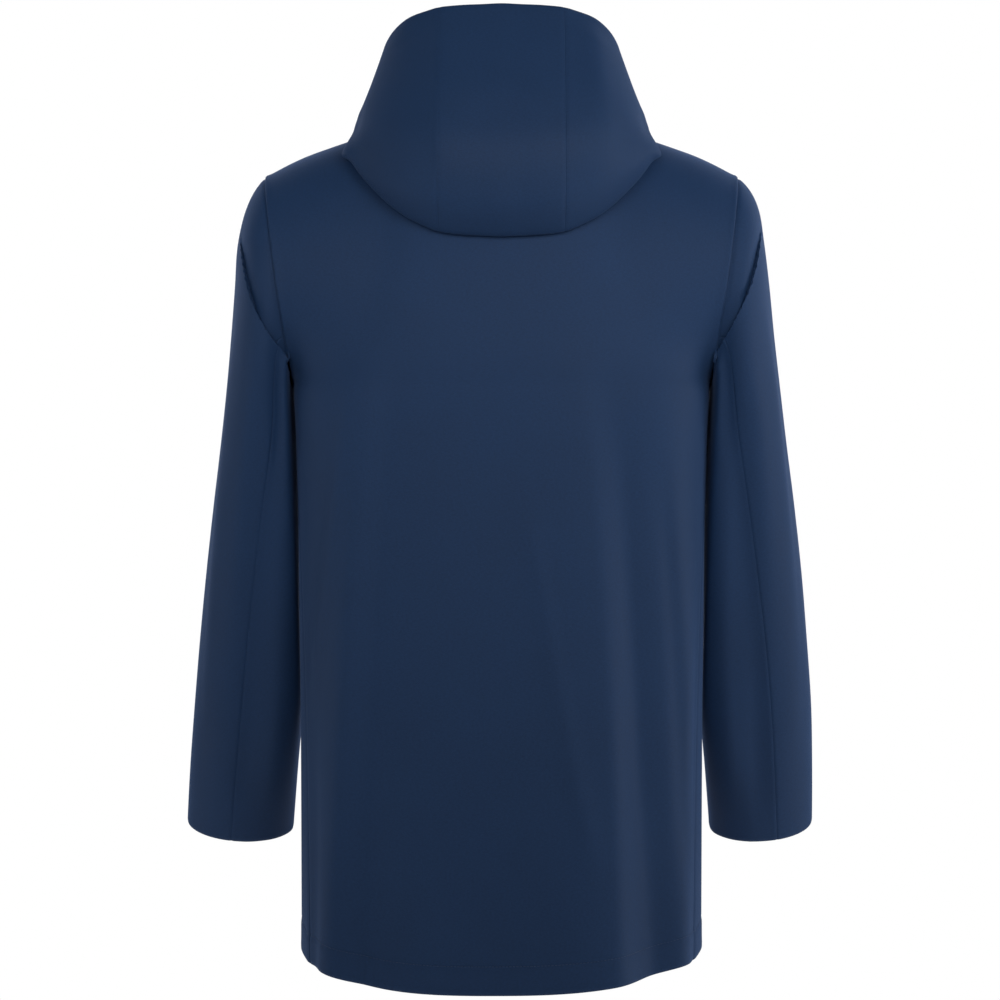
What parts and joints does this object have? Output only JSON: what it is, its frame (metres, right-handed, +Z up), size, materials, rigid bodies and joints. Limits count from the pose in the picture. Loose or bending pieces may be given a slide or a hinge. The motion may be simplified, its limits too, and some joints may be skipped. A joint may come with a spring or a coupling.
{
  "type": "hooded parka",
  "caption": "Hip-length hooded parka with a zipped front, standing in its worn shape with the hood hanging down on the back; neck, cuffs and hem are open.",
  "frame": {"origin": "middle of the neck, level with the points where the shoulder seams reach the neckline", "axes": "+Z up the garment, -Y the way the wearer faces, +X to the wearer's left"},
  "size_m": [0.6505, 0.3117, 0.9563],
  "materials": {
    "shell": "matte",
    "hood_shell": "matte",
    "webbing": "matte",
    "zip_metal": "satin"
  },
  "bodies": {
    "coat": {"back": "shell", "front_left": "shell", "front_right": "shell", "sleeve_left_upper": "shell", "sleeve_left_under": "shell", "sleeve_right_upper": "shell", "sleeve_right_under": "shell", "hood_left": "hood_shell", "hood_centre": "hood_shell", "hood_right": "hood_shell", "zip_tape_left": "webbing", "zip_tape_right": "webbing", "zip_slider": "zip_metal", "zip_box": "zip_metal"},
    "pull": {"zip_pull": "zip_metal"}
  },
  "joints": [
    {"name": "pull_hinge", "type": "hinge", "parent": "coat", "child": "pull", "pos_m": [0, -0.09326, -0.00405], "axis": [-1, 0, 0], "range_deg": [0, 150]}
  ]
}
